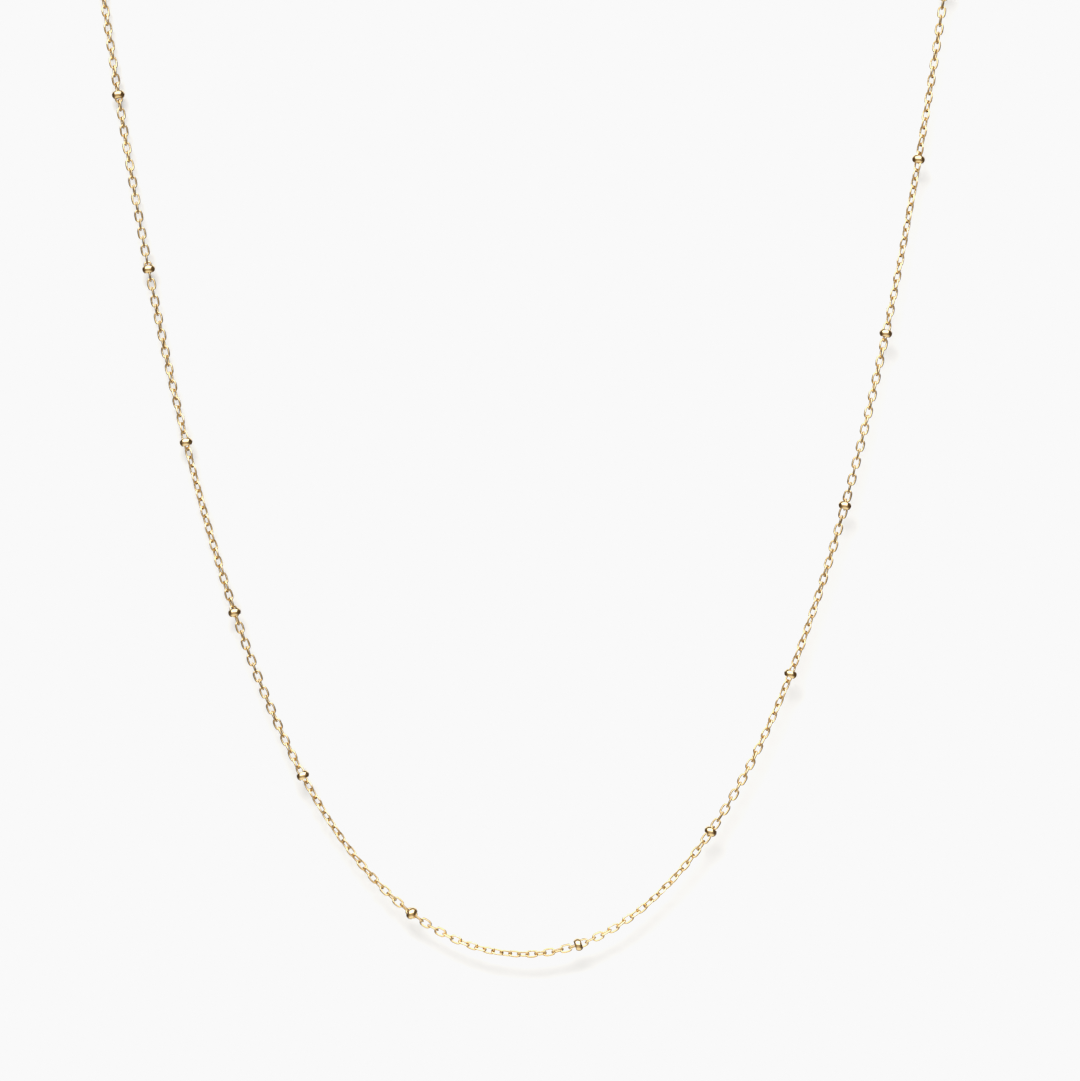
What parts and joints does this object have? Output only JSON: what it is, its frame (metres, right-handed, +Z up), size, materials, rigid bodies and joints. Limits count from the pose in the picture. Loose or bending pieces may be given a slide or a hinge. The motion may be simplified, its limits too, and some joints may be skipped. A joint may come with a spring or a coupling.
{
  "type": "station necklace",
  "caption": "Fine oval-link cable chain worn as a closed loop, with small flattened round beads at an even spacing, a ring clasp and an end ring.",
  "frame": {"origin": "centre of the neck opening, level with the nape, where the necklace hangs on the neck", "axes": "+X to the wearer's left as seen from the front (right in the front view), +Y from the front drop to the nape, +Z up along the neck"},
  "size_m": [0.1111, 0.0403, 0.1566],
  "materials": {
    "chain_gold": "polished pale yellow gold",
    "bead_gold": "high polish yellow gold",
    "clasp_gold": "polished yellow gold"
  },
  "bodies": {
    "root": {"chain": "chain_gold", "bead_01": "bead_gold", "bead_02": "bead_gold", "bead_03": "bead_gold", "bead_04": "bead_gold", "bead_05": "bead_gold", "bead_06": "bead_gold", "bead_07": "bead_gold", "bead_08": "bead_gold", "bead_09": "bead_gold", "bead_10": "bead_gold", "bead_11": "bead_gold", "bead_12": "bead_gold", "bead_13": "bead_gold", "bead_14": "bead_gold", "bead_15": "bead_gold", "bead_16": "bead_gold", "bead_17": "bead_gold", "bead_18": "bead_gold", "bead_19": "bead_gold", "clasp": "clasp_gold", "end_ring": "clasp_gold"}
  },
  "joints": []
}
